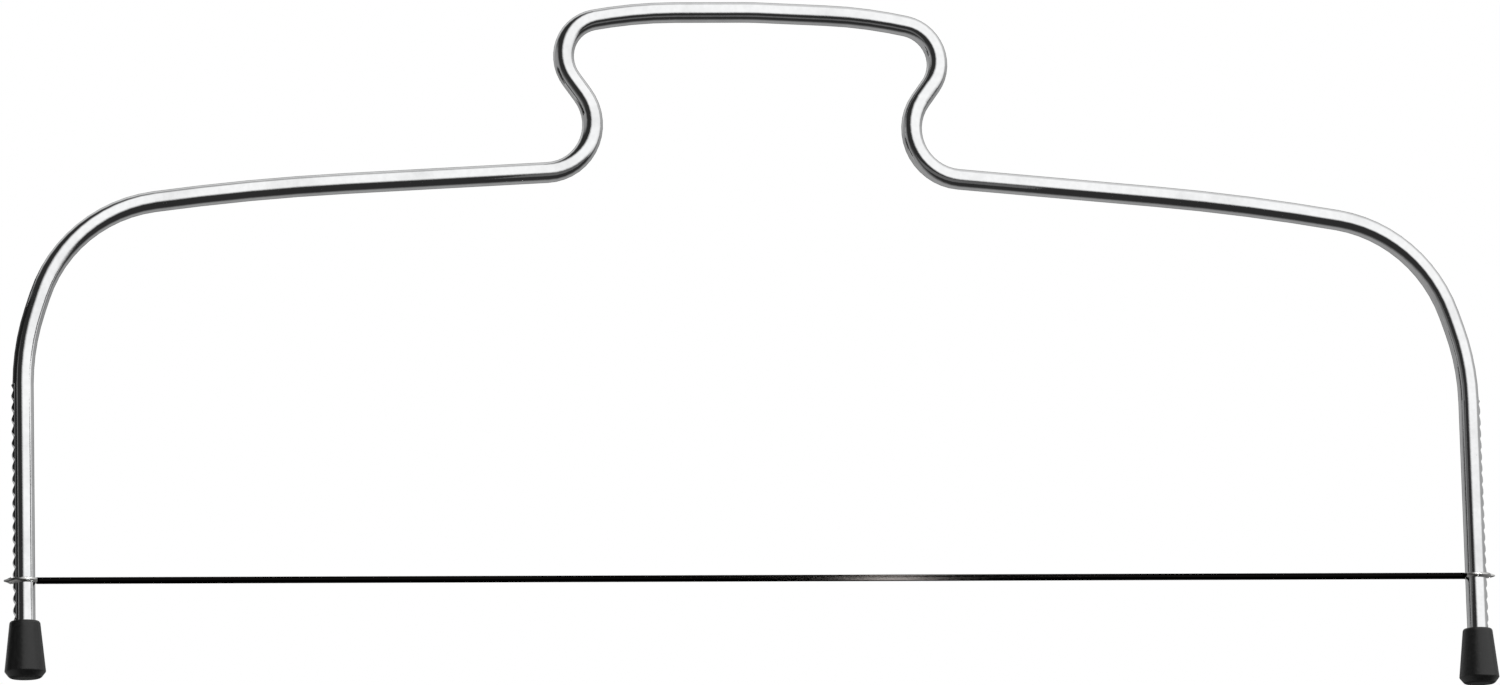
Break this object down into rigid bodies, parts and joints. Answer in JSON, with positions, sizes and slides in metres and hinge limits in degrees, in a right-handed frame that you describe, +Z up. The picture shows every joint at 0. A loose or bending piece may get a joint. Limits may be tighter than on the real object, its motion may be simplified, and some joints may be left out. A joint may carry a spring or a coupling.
{
  "type": "cake leveler",
  "caption": "Hand cake leveler: bent plated rod frame with a raised handle, notched legs on rubber feet and a thin cutting wire set at any notch height.",
  "frame": {"origin": "on the table, midway between the undersides of the two feet", "axes": "+Z up, +X along the cutting wire to the right as seen in the picture, Y across the thin way"},
  "size_m": [0.3206, 0.0086, 0.146],
  "materials": {
    "plated_rod": "bright plated steel rod, drawn, with fine handling marks",
    "wire": "dark stranded steel wire",
    "rubber_foot": "satin black rubber"
  },
  "bodies": {
    "frame": {"frame": "plated_rod", "foot_left": "rubber_foot", "foot_right": "rubber_foot"},
    "cutting_wire": {"cutting_wire": "wire"}
  },
  "joints": [
    {"name": "wire_height", "type": "slide", "parent": "frame", "child": "cutting_wire", "axis": [0, 0, 1], "range_m": [-0.0075, 0.0375]}
  ]
}
